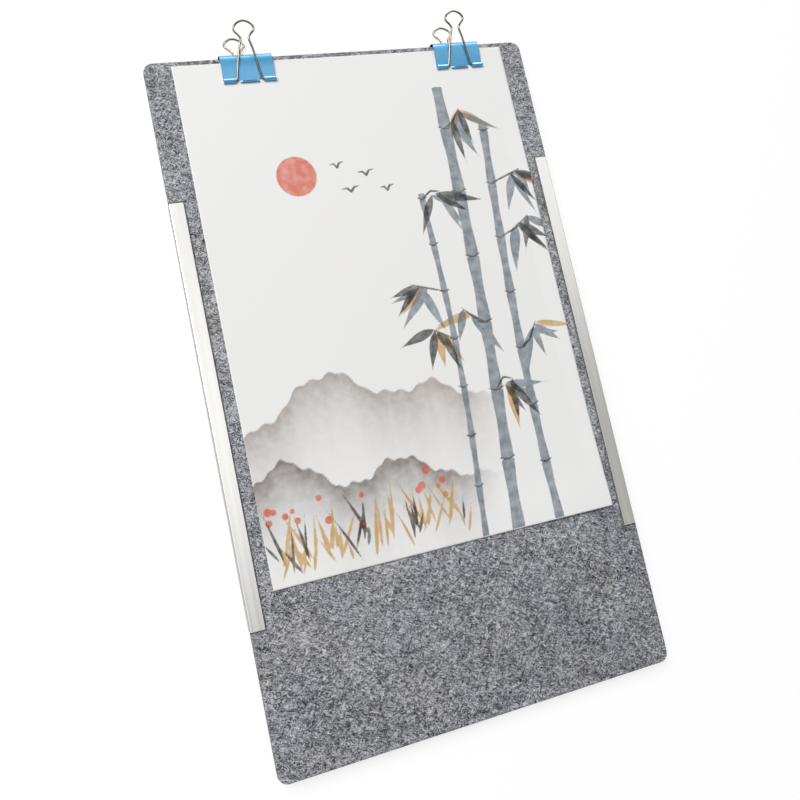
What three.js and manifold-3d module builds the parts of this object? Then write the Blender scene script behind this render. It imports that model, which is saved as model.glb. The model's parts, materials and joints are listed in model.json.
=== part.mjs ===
// A felt-faced drawing board that folds in two. Millimetres, +Z up out of the felt, +Y towards the clips.
// The origin is the middle of the wooden core's lower edge. The board lies open, with its sheet clipped on.

import * as THREE from "three";
import { mergeVertices } from "three/addons/utils/BufferGeometryUtils.js";
import Module from "manifold-3d";

// Board: two wooden halves, each with its own felt. The felt reaches a little past the wood at the sides.
const BOARD_WIDTH = 340;
const BOARD_LENGTH = 560;
const CORNER_RADIUS = 8;
const CORE_THICKNESS = 5;
const FELT_THICKNESS = 3;
const FELT_OVERHANG = 1.2;
const FOLD_GAP = 0.4;

// Sheet of paper, laid on the felt with its top edge under the clips.
const PAPER_WIDTH = 297;
const PAPER_LENGTH = 420;
const PAPER_THICKNESS = 0.3;
const PAPER_OFF_CENTRE = 1;
const PAPER_TOP_MARGIN = 4;

// Edge channels: a front flange and a web along the whole length, a back flange on the upper half only.
const STRIP_LENGTH = 332;
const STRIP_SHEET = 0.8;
const STRIP_FLANGE = 10.4;
const STRIP_BEND = 0.7;
const LEFT_STRIP_SHIFT = -3.4;
const RIGHT_STRIP_SHIFT = 2.5;
const FELT_PRESS = 0.6;
const STRIP_CLEARANCE = 0.2;

// Binder clips: one bent sheet of sprung steel each, with rolled lips, and two wire handles. An inset is from
// the board's side to the clip's middle, and between the handle's legs each lip is cut down to a tongue.
const LEFT_CLIP_INSET = 84;
const RIGHT_CLIP_INSET = 65;
const CLIP_WIDTH = 44;
const CLIP_SHEET = 0.6;
const CLIP_SPINE = 15.8;
const CLIP_DEPTH = 24.6;
const CLIP_BEND = 4;
const BLADE_TURN = 8;
const CLIP_SEAT = 0.1;
const CLIP_EDGE_GAP = 1.8;
const LIP_CLEARANCE = 0.3;
const LIP_WRAP = 285;
const LIP_NOTCH_RISE = 1.2;
const TONGUE_GAP = 1.4;
const TONGUE_RISE = 0.95;

// Wire handles: feet in the lips, legs that close to a neck, and a rounded head.
const WIRE_DIAMETER = 1.8;
const HANDLE_LENGTH = 49;
const LEG_SPACING = 21;
const NECK_SPACING = 7;
const HEAD_WIDTH = 17;
const FOOT_REACH = 7;
const FOOT_BEND = 1.2;
const HANDLE_CLEARANCE = 1.5;
const LEFT_FRONT_LEAN = 1.5;
const LEFT_REAR_LEAN = -4;
const RIGHT_FRONT_LEAN = 1.2;
const RIGHT_REAR_LEAN = 0.5;

// Butt hinges on the back, across the fold.
const HINGE_SPREAD = 190;
const HINGE_LENGTH = 32;
const LEAF_WIDTH = 16;
const LEAF_SHEET = 0.8;
const KNUCKLE_RADIUS = 2;
const KNUCKLE_GAP = 0.3;
const KNUCKLE_SEAT = 0.2;
const PIN_RADIUS = 1;
const PIN_CLEARANCE = 0.15;
const PIN_HEAD = 0.6;
const SCREW_SPREAD = 18;
const SCREW_RADIUS = 1.2;
const SCREW_DEPTH = 3.5;
const SCREW_HEAD_RADIUS = 2.4;
const SCREW_HEAD_HEIGHT = 0.8;
const SCREW_CLEARANCE = 0.15;

// Places that follow from the sizes above.
const CORE_WIDTH = BOARD_WIDTH - 2 * FELT_OVERHANG;
const FOLD_Y = BOARD_LENGTH / 2;
const TOP_Y = BOARD_LENGTH;
const BACK_Z = -CORE_THICKNESS / 2;
const CORE_FRONT_Z = CORE_THICKNESS / 2;
const FELT_FRONT_Z = CORE_FRONT_Z + FELT_THICKNESS;
const WEB_INNER = CORE_WIDTH / 2 + STRIP_CLEARANCE;
const WEB_OUTER = WEB_INNER + STRIP_SHEET;
const FLANGE_EDGE = WEB_INNER - STRIP_FLANGE;
const FLANGE_LOW = FELT_FRONT_Z - FELT_PRESS;
const FLANGE_HIGH = FLANGE_LOW + STRIP_SHEET;

// The sheet lies on the felt, or on the channels where it is wide enough to reach over them.
const PAPER_REACH = PAPER_WIDTH / 2 + Math.abs(PAPER_OFF_CENTRE);
const PAPER_BACK_Z = PAPER_REACH > FLANGE_EDGE ? Math.max(FELT_FRONT_Z, FLANGE_HIGH) : FELT_FRONT_Z;
const PAPER_FRONT_Z = PAPER_BACK_Z + PAPER_THICKNESS;

const LEFT_CLIP_X = LEFT_CLIP_INSET - BOARD_WIDTH / 2;
const RIGHT_CLIP_X = BOARD_WIDTH / 2 - RIGHT_CLIP_INSET;
const CLIP_MID_Z = (BACK_Z + PAPER_FRONT_Z) / 2;
const LIP_INNER = WIRE_DIAMETER / 2 + LIP_CLEARANCE;
const LIP_OUTER = LIP_INNER + CLIP_SHEET;
const SPINE_Y = TOP_Y + CLIP_EDGE_GAP + CLIP_SHEET;
const PIVOT_DEPTH = CLIP_DEPTH - LIP_OUTER;
const PIVOT_Y = SPINE_Y - PIVOT_DEPTH;
const PIVOT_RISE = (PAPER_FRONT_Z - BACK_Z) / 2 + CLIP_SEAT + LIP_OUTER;
const HINGE_Z = BACK_Z - KNUCKLE_RADIUS - KNUCKLE_SEAT;

const wasm = await Module();
wasm.setup();

const board = new THREE.Group();
board.name = "folding_drawing_board";

const wood = new THREE.MeshStandardMaterial({ color: 0xd3b48a, roughness: 0.7 });
const felt = new THREE.MeshStandardMaterial({ color: 0x85868c, roughness: 1 });
const paper = new THREE.MeshStandardMaterial({ color: 0xf2f1ec, roughness: 0.9 });
const alloy = new THREE.MeshStandardMaterial({ color: 0xe3e2de, roughness: 0.35, metalness: 0.6 });
const blueSteel = new THREE.MeshStandardMaterial({ color: 0x3f93d4, roughness: 0.3, metalness: 0.2 });
const nickel = new THREE.MeshStandardMaterial({ color: 0xc9c8c4, roughness: 0.2, metalness: 1 });
const zinc = new THREE.MeshStandardMaterial({ color: 0xb4b6b8, roughness: 0.35, metalness: 1 });

// A closed geometry as a solid, for adding and cutting.
function toSolid(geometry) {
  const bare = new THREE.BufferGeometry();
  const flat = geometry.index ? geometry.toNonIndexed() : geometry;
  bare.setAttribute("position", flat.getAttribute("position"));
  const merged = mergeVertices(bare, 1e-4);
  return new wasm.Manifold(
    new wasm.Mesh({
      numProp: 3,
      vertProperties: new Float32Array(merged.attributes.position.array),
      triVerts: new Uint32Array(merged.index.array),
    }),
  );
}

// A solid back as a geometry with flat faces.
function toGeometry(solid) {
  const mesh = solid.getMesh();
  const positions = [];
  for (const corner of mesh.triVerts) {
    const at = corner * mesh.numProp;
    positions.push(mesh.vertProperties[at], mesh.vertProperties[at + 1], mesh.vertProperties[at + 2]);
  }
  const geometry = new THREE.BufferGeometry();
  geometry.setAttribute("position", new THREE.Float32BufferAttribute(positions, 3));
  geometry.computeVertexNormals();
  return geometry;
}

function cut(geometry, tools) {
  let solid = toSolid(geometry);
  for (const tool of tools) solid = solid.subtract(toSolid(tool));
  return toGeometry(solid);
}

function join(geometries) {
  let solid = toSolid(geometries[0]);
  for (const other of geometries.slice(1)) solid = solid.add(toSolid(other));
  return toGeometry(solid);
}

// A box from its low corner to its high corner.
function box(low, high) {
  const size = high.map((value, i) => value - low[i]);
  const geometry = new THREE.BoxGeometry(...size);
  geometry.translate(...low.map((value, i) => value + size[i] / 2));
  return geometry;
}

// A round bar along X, from one end to the other, around the line through y and z.
function barAlongX(radius, from, to, y, z, sides = 32) {
  const geometry = new THREE.CylinderGeometry(radius, radius, to - from, sides);
  geometry.rotateZ(Math.PI / 2);
  geometry.translate((from + to) / 2, y, z);
  return geometry;
}

// A round bar along Z.
function barAlongZ(radius, from, to, x, y, sides = 24) {
  const geometry = new THREE.CylinderGeometry(radius, radius, to - from, sides);
  geometry.rotateX(Math.PI / 2);
  geometry.translate(x, y, (from + to) / 2);
  return geometry;
}

function add(name, geometry, material) {
  const mesh = new THREE.Mesh(geometry, material);
  mesh.name = name;
  board.add(mesh);
  return mesh;
}

// One half of the board's outline, as a plate: square at the fold, rounded at the two outer corners.
function halfPlate(halfWidth, foldEnd, outerEnd, radius, low, high) {
  const way = Math.sign(outerEnd - foldEnd);
  const shoulder = outerEnd - way * radius;
  const shape = new THREE.Shape();
  shape.moveTo(-halfWidth, foldEnd);
  shape.lineTo(halfWidth, foldEnd);
  shape.lineTo(halfWidth, shoulder);
  shape.absarc(halfWidth - radius, shoulder, radius, 0, (way * Math.PI) / 2, way < 0);
  shape.lineTo(-halfWidth + radius, outerEnd);
  shape.absarc(-halfWidth + radius, shoulder, radius, (way * Math.PI) / 2, way * Math.PI, way < 0);
  shape.lineTo(-halfWidth, foldEnd);
  const geometry = new THREE.ExtrudeGeometry(shape, {
    depth: high - low,
    bevelEnabled: false,
    curveSegments: 10,
  });
  geometry.translate(0, 0, low);
  return geometry;
}

// Edge channels

// The low and high ends of a channel along Y.
function stripSpan(shift) {
  const middle = FOLD_Y + shift;
  return [middle - STRIP_LENGTH / 2, middle + STRIP_LENGTH / 2];
}

// The room that a channel needs in the felt: pressed down under its flange and back to the wood at its web.
function stripRoom(side, shift) {
  const [low, high] = stripSpan(shift);
  const inner = FLANGE_EDGE - STRIP_CLEARANCE;
  const outer = BOARD_WIDTH / 2 + STRIP_CLEARANCE;
  const ends = [low - STRIP_CLEARANCE, high + STRIP_CLEARANCE];
  const across = (a, b) => (side > 0 ? [a, b] : [-b, -a]);
  const [pressLow, pressHigh] = across(inner, outer);
  const [edgeLow, edgeHigh] = across(CORE_WIDTH / 2, outer);
  return [
    box([pressLow, ends[0], FLANGE_LOW], [pressHigh, ends[1], FLANGE_HIGH + FELT_THICKNESS]),
    box([edgeLow, ends[0], BACK_Z], [edgeHigh, ends[1], FLANGE_HIGH + FELT_THICKNESS]),
  ];
}

function strip(name, side, shift) {
  const [low, high] = stripSpan(shift);
  const backHigh = BACK_Z;
  const backLow = BACK_Z - STRIP_SHEET;
  const bend = Math.min(STRIP_BEND, STRIP_SHEET * 0.9);
  const shape = new THREE.Shape();
  shape.moveTo(WEB_INNER, backLow);
  shape.lineTo(WEB_OUTER, backLow);
  shape.lineTo(WEB_OUTER, FLANGE_HIGH - bend);
  shape.absarc(WEB_OUTER - bend, FLANGE_HIGH - bend, bend, 0, Math.PI / 2, false);
  shape.lineTo(FLANGE_EDGE, FLANGE_HIGH);
  shape.lineTo(FLANGE_EDGE, FLANGE_LOW);
  shape.lineTo(WEB_INNER, FLANGE_LOW);
  shape.lineTo(WEB_INNER, backLow);
  const angle = new THREE.ExtrudeGeometry(shape, {
    depth: high - low,
    bevelEnabled: false,
    curveSegments: 6,
  });
  angle.rotateX(Math.PI / 2);
  angle.translate(0, high, 0);
  const backFlange = box(
    [FLANGE_EDGE, FOLD_Y + FOLD_GAP, backLow],
    [WEB_OUTER - STRIP_SHEET / 2, high, backHigh],
  );
  let geometry = join([angle, backFlange]);
  if (side < 0) {
    // Turned about Y the channel would lie on its back, so the left one is mirrored with its faces reversed.
    const place = geometry.getAttribute("position");
    for (let i = 0; i < place.count; i += 1) place.setX(i, -place.getX(i));
    for (let i = 0; i < place.count; i += 3) {
      const [x, y, z] = [place.getX(i), place.getY(i), place.getZ(i)];
      place.setXYZ(i, place.getX(i + 1), place.getY(i + 1), place.getZ(i + 1));
      place.setXYZ(i + 1, x, y, z);
    }
    geometry.computeVertexNormals();
  }
  add(name, geometry, alloy);
}

strip("left_strip", -1, LEFT_STRIP_SHIFT);
strip("right_strip", 1, RIGHT_STRIP_SHIFT);

// Hinges

const LEAF_LOW = BACK_Z - LEAF_SHEET;
const KNUCKLE_LENGTH = (HINGE_LENGTH - 2 * KNUCKLE_GAP) / 3;
const SCREW_OUT = (LEAF_WIDTH + KNUCKLE_RADIUS) / 2 + 1;
const HINGE_PLACES = [
  ["left", -HINGE_SPREAD / 2],
  ["right", HINGE_SPREAD / 2],
];

// Where the screws of one half go: way is 1 for the upper half and -1 for the lower half.
function screwPlaces(way) {
  const places = [];
  for (const [side, x] of HINGE_PLACES) {
    for (const [end, shift] of [["a", -SCREW_SPREAD / 2], ["b", SCREW_SPREAD / 2]]) {
      places.push([`${side}_${end}`, x + shift, FOLD_Y + way * SCREW_OUT]);
    }
  }
  return places;
}

// A leaf with its own knuckles. The upper leaf has the two outer ones, the lower leaf the middle one.
function leaf(name, x, way) {
  const start = x - HINGE_LENGTH / 2;
  const step = KNUCKLE_LENGTH + KNUCKLE_GAP;
  const inner = KNUCKLE_RADIUS + KNUCKLE_GAP;
  const along = (a, b) => (way > 0 ? [FOLD_Y + a, FOLD_Y + b] : [FOLD_Y - b, FOLD_Y - a]);
  const [plateLow, plateHigh] = along(inner, LEAF_WIDTH);
  const [tabLow, tabHigh] = along(0, inner + LEAF_SHEET);
  const parts = [box([start, plateLow, LEAF_LOW], [start + HINGE_LENGTH, plateHigh, BACK_Z])];
  for (const index of way > 0 ? [0, 2] : [1]) {
    const from = start + index * step;
    parts.push(box([from, tabLow, LEAF_LOW], [from + KNUCKLE_LENGTH, tabHigh, BACK_Z]));
    parts.push(barAlongX(KNUCKLE_RADIUS, from, from + KNUCKLE_LENGTH, FOLD_Y, HINGE_Z));
  }
  const bore = PIN_RADIUS + PIN_CLEARANCE;
  const holes = [barAlongX(bore, start - 1, start + HINGE_LENGTH + 1, FOLD_Y, HINGE_Z)];
  for (const shift of [-SCREW_SPREAD / 2, SCREW_SPREAD / 2]) {
    const hole = SCREW_RADIUS + SCREW_CLEARANCE;
    holes.push(barAlongZ(hole, LEAF_LOW - 1, BACK_Z + 1, x + shift, FOLD_Y + way * SCREW_OUT));
  }
  add(name, cut(join(parts), holes), zinc);
}

for (const [side, x] of HINGE_PLACES) {
  leaf(`${side}_hinge_upper_leaf`, x, 1);
  leaf(`${side}_hinge_lower_leaf`, x, -1);
  const end = HINGE_LENGTH / 2;
  const head = (PIN_RADIUS + PIN_CLEARANCE + KNUCKLE_RADIUS) / 2;
  const pin = join([
    barAlongX(PIN_RADIUS, x - end - PIN_HEAD / 2, x + end + PIN_HEAD / 2, FOLD_Y, HINGE_Z),
    barAlongX(head, x - end - PIN_HEAD, x - end, FOLD_Y, HINGE_Z),
    barAlongX(head, x + end, x + end + PIN_HEAD, FOLD_Y, HINGE_Z),
  ]);
  add(`${side}_hinge_pin`, pin, zinc);
}

// A pan-head screw from the back, through its leaf into the wood.
function screw(name, x, y) {
  const seat = LEAF_LOW;
  const profile = [
    new THREE.Vector2(0, seat - SCREW_HEAD_HEIGHT),
    new THREE.Vector2(SCREW_HEAD_RADIUS * 0.55, seat - SCREW_HEAD_HEIGHT),
    new THREE.Vector2(SCREW_HEAD_RADIUS * 0.85, seat - SCREW_HEAD_HEIGHT * 0.72),
    new THREE.Vector2(SCREW_HEAD_RADIUS, seat - SCREW_HEAD_HEIGHT * 0.25),
    new THREE.Vector2(SCREW_HEAD_RADIUS, seat),
    new THREE.Vector2(SCREW_RADIUS, seat),
    new THREE.Vector2(SCREW_RADIUS, BACK_Z + SCREW_DEPTH - SCREW_RADIUS * 0.6),
    new THREE.Vector2(0, BACK_Z + SCREW_DEPTH),
  ];
  const geometry = new THREE.LatheGeometry(profile, 20);
  geometry.rotateX(Math.PI / 2);
  geometry.translate(x, y, 0);
  const slotWidth = SCREW_HEAD_RADIUS * 0.22;
  const slotDeep = SCREW_HEAD_HEIGHT * 0.5;
  const floor = seat - SCREW_HEAD_HEIGHT;
  const slot = box(
    [x - SCREW_HEAD_RADIUS * 1.1, y - slotWidth / 2, floor - 1],
    [x + SCREW_HEAD_RADIUS * 1.1, y + slotWidth / 2, floor + slotDeep],
  );
  const crossSlot = box(
    [x - slotWidth / 2, y - SCREW_HEAD_RADIUS * 0.6, floor - 1],
    [x + slotWidth / 2, y + SCREW_HEAD_RADIUS * 0.6, floor + slotDeep],
  );
  add(name, cut(geometry, [slot, crossSlot]), zinc);
}

// Halves of the board

function half(part, way) {
  const foldEnd = FOLD_Y + (way * FOLD_GAP) / 2;
  const outerEnd = way > 0 ? TOP_Y : 0;
  const core = halfPlate(CORE_WIDTH / 2, foldEnd, outerEnd, CORNER_RADIUS, BACK_Z, CORE_FRONT_Z);
  const holes = screwPlaces(way).map(([, x, y]) =>
    barAlongZ(SCREW_RADIUS + SCREW_CLEARANCE, BACK_Z - 1, BACK_Z + SCREW_DEPTH + SCREW_CLEARANCE, x, y),
  );
  add(`${part}_board`, cut(core, holes), wood);
  const top = halfPlate(BOARD_WIDTH / 2, foldEnd, outerEnd, CORNER_RADIUS, CORE_FRONT_Z, FELT_FRONT_Z);
  const rooms = [...stripRoom(-1, LEFT_STRIP_SHIFT), ...stripRoom(1, RIGHT_STRIP_SHIFT)];
  add(`felt_${part}`, cut(top, rooms), felt);
  for (const [place, x, y] of screwPlaces(way)) screw(`${part}_screw_${place}`, x, y);
}

half("upper", 1);
half("lower", -1);

// Paper

const PAPER_TOP_Y = TOP_Y - PAPER_TOP_MARGIN;
add(
  "paper_sheet",
  box(
    [PAPER_OFF_CENTRE - PAPER_WIDTH / 2, PAPER_TOP_Y - PAPER_LENGTH, PAPER_BACK_Z],
    [PAPER_OFF_CENTRE + PAPER_WIDTH / 2, PAPER_TOP_Y, PAPER_FRONT_Z],
  ),
  paper,
);

// Clips

// The points of an arc about a centre, from one angle to another in equal steps.
function arcPoints(centre, radius, from, to, steps) {
  return Array.from({ length: steps + 1 }, (_, i) => {
    const angle = from + ((to - from) * i) / steps;
    return new THREE.Vector2(centre.x + radius * Math.cos(angle), centre.y + radius * Math.sin(angle));
  });
}

// The middle line of the front half of a clip's sheet, from the spine to the end of its lip. Each point is
// the depth below the spine's outside and the rise from the clip's middle plane. A round bend leads to the
// blade, which bows outwards a little, and the blade runs into the roll of the lip.
function clipLine() {
  const mid = CLIP_SHEET / 2;
  const quarter = Math.PI / 2;
  const corner = new THREE.Vector2(mid, CLIP_SPINE / 2 - mid);
  const pivot = new THREE.Vector2(PIVOT_DEPTH, PIVOT_RISE);
  const roll = LIP_INNER + mid;
  const turn = THREE.MathUtils.degToRad(BLADE_TURN);
  const towards = (angle) => new THREE.Vector2(Math.cos(angle), Math.sin(angle));

  // Each pass turns the blade's first heading so that its chord points half way between first and last.
  let heading = 0;
  let setback = 0;
  let leave = corner;
  let chord = pivot;
  for (let pass = 0; pass < 20; pass += 1) {
    setback = CLIP_BEND * Math.tan((quarter - heading) / 2);
    leave = corner.clone().addScaledVector(towards(heading), setback);
    chord = pivot.clone().addScaledVector(towards(heading - turn - quarter), roll).sub(leave);
    heading = Math.atan2(chord.y, chord.x) + turn / 2;
  }
  const bow = chord.length() / (2 * Math.sin(turn / 2));
  const bendCentre = new THREE.Vector2(corner.x + CLIP_BEND, corner.y - setback);
  const bowCentre = leave.clone().addScaledVector(towards(heading - quarter), bow);
  const last = heading - turn - quarter;
  return [
    ...arcPoints(bendCentre, CLIP_BEND, Math.PI, heading + quarter, 8),
    ...arcPoints(bowCentre, bow, heading + quarter, heading - turn + quarter, 8).slice(1, -1),
    ...arcPoints(pivot, roll, last, last + THREE.MathUtils.degToRad(LIP_WRAP), 28),
  ];
}

const TONGUE_HALF = LEG_SPACING / 2 - WIRE_DIAMETER / 2 - TONGUE_GAP;
const SLOT_SHOULDER = PIVOT_Y + LIP_OUTER + LIP_CLEARANCE;

// What is cut from both lips for one leg of each handle: a slot through the sheet under the wire, and room in
// front of each blade where the wire leaves the roll. Side is -1 on the left, 1 on the right.
function legSlot(x, side) {
  const inner = side * TONGUE_HALF;
  const outer = side * (LEG_SPACING / 2 + FOOT_BEND + LIP_CLEARANCE);
  const shape = new THREE.Shape();
  shape.moveTo(inner, PIVOT_Y - CLIP_DEPTH);
  shape.lineTo(outer, PIVOT_Y - CLIP_DEPTH);
  shape.lineTo(outer, PIVOT_Y);
  shape.quadraticCurveTo((inner + outer) / 2, PIVOT_Y + 2 * LIP_NOTCH_RISE, inner, PIVOT_Y);
  shape.lineTo(inner, PIVOT_Y - CLIP_DEPTH);
  const slot = new THREE.ExtrudeGeometry(shape, {
    depth: 2 * CLIP_SPINE,
    bevelEnabled: false,
    curveSegments: 12,
  });
  slot.translate(x, 0, CLIP_MID_Z - CLIP_SPINE);
  const across = [x + inner, x + outer].sort((a, b) => a - b);
  const low = PIVOT_RISE - WIRE_DIAMETER / 2;
  const high = PIVOT_RISE + LIP_OUTER + LIP_CLEARANCE;
  const front = box(
    [across[0], PIVOT_Y - CLIP_DEPTH, CLIP_MID_Z + low],
    [across[1], SLOT_SHOULDER, CLIP_MID_Z + high],
  );
  const rear = box(
    [across[0], PIVOT_Y - CLIP_DEPTH, CLIP_MID_Z - high],
    [across[1], SLOT_SHOULDER, CLIP_MID_Z - low],
  );
  return [slot, front, rear];
}

// What is cut from a lip between its slots, so that only an arched tongue of its roll stays, highest in the
// middle. Side is 1 at the front.
function aboveTongue(x, side) {
  const wide = TONGUE_HALF + LIP_CLEARANCE;
  const foot = PIVOT_RISE - LIP_OUTER + CLIP_SHEET + 2 * LIP_CLEARANCE;
  const top = PIVOT_RISE + 2 * LIP_OUTER;
  const low = PIVOT_Y - LIP_OUTER - LIP_CLEARANCE;
  const crown = PIVOT_Y - LIP_OUTER + TONGUE_RISE;
  const pull = low + ((crown - low) * 4) / 3;
  const shape = new THREE.Shape();
  shape.moveTo(-wide, low);
  shape.lineTo(-TONGUE_HALF, low);
  shape.bezierCurveTo(-TONGUE_HALF * 0.8, pull, TONGUE_HALF * 0.8, pull, TONGUE_HALF, low);
  shape.lineTo(wide, low);
  shape.lineTo(wide, SLOT_SHOULDER);
  shape.lineTo(-wide, SLOT_SHOULDER);
  shape.lineTo(-wide, low);
  const arch = new THREE.ExtrudeGeometry(shape, {
    depth: top - foot,
    bevelEnabled: false,
    curveSegments: 20,
  });
  arch.translate(x, 0, CLIP_MID_Z + (side > 0 ? foot : -top));
  return arch;
}

function clipBody(name, x) {
  const front = clipLine();
  const rear = front.map((point) => new THREE.Vector2(point.x, -point.y)).reverse();
  const line = [...rear, ...front];
  const sides = [[], []];
  line.forEach((point, i) => {
    const before = line[Math.max(i - 1, 0)];
    const after = line[Math.min(i + 1, line.length - 1)];
    const heading = after.clone().sub(before).normalize();
    const across = new THREE.Vector2(-heading.y, heading.x).multiplyScalar(CLIP_SHEET / 2);
    sides[0].push(point.clone().add(across));
    sides[1].push(point.clone().sub(across));
  });
  const outline = [...sides[0], ...sides[1].reverse()];
  const shape = new THREE.Shape(
    outline.map((point) => new THREE.Vector2(SPINE_Y - point.x, CLIP_MID_Z + point.y)),
  );
  const sheet = new THREE.ExtrudeGeometry(shape, { depth: CLIP_WIDTH, bevelEnabled: false });
  const stand = new THREE.Matrix4().set(0, 0, 1, 0, 1, 0, 0, 0, 0, 1, 0, 0, 0, 0, 0, 1);
  sheet.applyMatrix4(stand);
  sheet.translate(x - CLIP_WIDTH / 2, 0, 0);
  const tools = [-1, 1].flatMap((side) => [...legSlot(x, side), aboveTongue(x, side)]);
  add(name, cut(sheet, tools), blueSteel);
}

// A handle lies along its blade just clear of the spine's corner, front or rear, and leans a little sideways.
function handle(name, x, side, lean) {
  const corner = CLIP_SPINE / 2 + WIRE_DIAMETER / 2 + HANDLE_CLEARANCE;
  const tilt = Math.atan2(corner - PIVOT_RISE, PIVOT_DEPTH);
  const leg = LEG_SPACING / 2;
  const neck = NECK_SPACING / 2;
  const head = HEAD_WIDTH / 2;
  const foot = leg + FOOT_BEND;
  const length = HANDLE_LENGTH - WIRE_DIAMETER / 2;
  const half = [
    [foot + FOOT_REACH, 0],
    [foot + FOOT_REACH * 0.66, 0],
    [foot + FOOT_REACH * 0.33, 0],
    [foot + FOOT_BEND * 0.3, 0],
    [foot - FOOT_BEND * 0.3, FOOT_BEND * 0.08],
    [leg + FOOT_BEND * 0.2, FOOT_BEND * 0.55],
    [leg, FOOT_BEND * 1.3],
    [leg * 0.8 + neck * 0.2, length * 0.17],
    [leg * 0.55 + neck * 0.45, length * 0.36],
    [leg * 0.27 + neck * 0.73, length * 0.55],
    [neck, length * 0.7],
    [neck + (head - neck) * 0.4, length * 0.77],
    [head * 0.96, length * 0.83],
    [head, length * 0.875],
    [head * 0.8, length * 0.935],
    [head * 0.42, length * 0.98],
  ];
  const path = [...half, [0, length], ...half.map(([w, s]) => [-w, s]).reverse()];
  const points = path.map(([w, s]) => {
    const slant = lean * Math.max(0, s / length - 0.1) ** 1.3;
    const y = PIVOT_Y + s * Math.cos(tilt);
    const z = CLIP_MID_Z + side * (PIVOT_RISE + s * Math.sin(tilt));
    return new THREE.Vector3(x + w + slant, y, z);
  });
  const wire = new THREE.Shape();
  wire.absarc(0, 0, WIRE_DIAMETER / 2, 0, 2 * Math.PI, false);
  const geometry = new THREE.ExtrudeGeometry(wire, {
    steps: 92,
    curveSegments: 6,
    bevelEnabled: false,
    extrudePath: new THREE.CatmullRomCurve3(points, false, "centripetal"),
  });
  add(name, geometry, nickel);
}

clipBody("left_clip_body", LEFT_CLIP_X);
handle("left_clip_front_handle", LEFT_CLIP_X, 1, LEFT_FRONT_LEAN);
handle("left_clip_rear_handle", LEFT_CLIP_X, -1, LEFT_REAR_LEAN);
clipBody("right_clip_body", RIGHT_CLIP_X);
handle("right_clip_front_handle", RIGHT_CLIP_X, 1, RIGHT_FRONT_LEAN);
handle("right_clip_rear_handle", RIGHT_CLIP_X, -1, RIGHT_REAR_LEAN);

export default board;
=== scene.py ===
# %% [markdown]
# # A folding drawing board, dressed in Blender
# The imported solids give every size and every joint. This lesson keeps them where they are and gives the
# board its looks: grey felt, a clipped sheet of paper, bright edge channels and blue binder clips.

# %% Load the solids
import json
import math

import bmesh
import bpy
import numpy as np
from mathutils import Matrix, Vector


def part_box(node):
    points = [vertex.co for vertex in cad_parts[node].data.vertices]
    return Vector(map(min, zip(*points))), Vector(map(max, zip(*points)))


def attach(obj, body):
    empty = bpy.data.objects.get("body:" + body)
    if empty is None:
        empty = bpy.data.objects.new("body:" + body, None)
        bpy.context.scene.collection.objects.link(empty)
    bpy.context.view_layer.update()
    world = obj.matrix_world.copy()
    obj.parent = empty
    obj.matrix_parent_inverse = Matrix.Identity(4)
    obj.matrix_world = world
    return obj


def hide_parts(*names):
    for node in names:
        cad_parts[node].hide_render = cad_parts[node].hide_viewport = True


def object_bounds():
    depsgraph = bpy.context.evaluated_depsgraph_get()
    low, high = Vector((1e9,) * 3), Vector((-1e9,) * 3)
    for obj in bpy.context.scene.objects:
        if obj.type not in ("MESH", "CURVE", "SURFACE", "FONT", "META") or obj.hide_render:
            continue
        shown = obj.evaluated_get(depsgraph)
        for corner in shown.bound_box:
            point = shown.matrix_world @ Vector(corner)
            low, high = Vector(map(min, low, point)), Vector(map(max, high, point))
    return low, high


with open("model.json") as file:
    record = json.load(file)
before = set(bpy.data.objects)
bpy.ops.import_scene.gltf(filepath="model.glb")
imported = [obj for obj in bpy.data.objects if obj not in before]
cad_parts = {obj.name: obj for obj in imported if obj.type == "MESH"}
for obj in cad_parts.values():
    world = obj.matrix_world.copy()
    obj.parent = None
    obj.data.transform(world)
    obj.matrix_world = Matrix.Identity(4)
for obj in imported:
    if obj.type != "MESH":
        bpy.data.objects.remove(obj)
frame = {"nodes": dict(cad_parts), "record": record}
CAD_BOX = [list(corner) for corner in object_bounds()]
MM = 0.001
print("solids:", len(frame["nodes"]), "box in mm:", [[round(v / MM, 1) for v in c] for c in CAD_BOX])

# %% [markdown]
# ## The camera
# The picture was taken from above the board's left side. Its place and turn were worked out from the
# corners of the board, with the picture's pixels as the unit of focal length. A camera could be placed by
# eye, but four known corners fix it far more closely, so the numbers are written down here.

# %% Place the camera
PICTURE_SIDE = 800
FOCAL_PIXELS = 892.492
PICTURE_CENTRE = (366.879, 348.953)
CAMERA_TURN = np.array([-0.151547, -0.311839, -0.189319])
CAMERA_SHIFT_MM = np.array([94.404294, 290.292941, 703.181631])


def turn_matrix(vector):
    """The rotation about a vector by its own length: identity plus sine times the cross-product matrix of
    the axis, plus one minus cosine times that matrix squared."""
    angle = np.linalg.norm(vector)
    x, y, z = vector / angle
    cross = np.array([[0, -z, y], [z, 0, -x], [-y, x, 0]])
    return np.eye(3) + math.sin(angle) * cross + (1 - math.cos(angle)) * cross @ cross


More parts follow.
